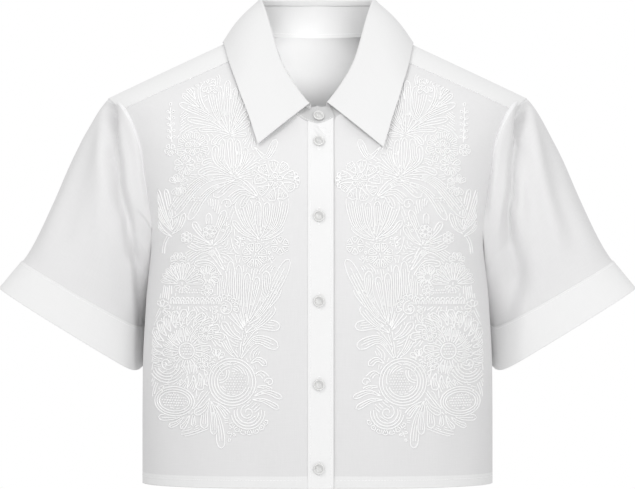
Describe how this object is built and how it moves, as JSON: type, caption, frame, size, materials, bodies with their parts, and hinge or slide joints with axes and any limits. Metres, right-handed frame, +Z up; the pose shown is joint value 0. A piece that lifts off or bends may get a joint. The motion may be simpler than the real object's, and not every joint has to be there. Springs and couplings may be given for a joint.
{
  "type": "cropped shirt",
  "caption": "Boxy cropped short-sleeved button-front shirt with a point collar, yoke and turned cuffs, hollow as if worn.",
  "frame": {"origin": "the nape: the inner face of the yoke at the centre of the back neckline, where the wearer's neck and shoulders hold it", "axes": "+Z up, -Y to the front of the shirt, +X to the wearer's left"},
  "size_m": [0.667, 0.2412, 0.5101],
  "materials": {
    "voile": "semi-sheer single layer of white cotton voile",
    "shirting": "matt double layer of the same white cloth",
    "button": "glossy off-white"
  },
  "bodies": {
    "root": {"front_right": "voile", "front_left": "voile", "back": "voile", "sleeve_right": "voile", "sleeve_left": "voile", "yoke": "shirting", "placket_outer": "shirting", "placket_inner": "shirting", "collar_stand": "shirting", "collar_leaf": "shirting", "cuff_right": "shirting", "cuff_left": "shirting", "button_stand": "button", "button_1": "button", "button_2": "button", "button_3": "button", "button_4": "button", "button_5": "button"}
  },
  "joints": []
}
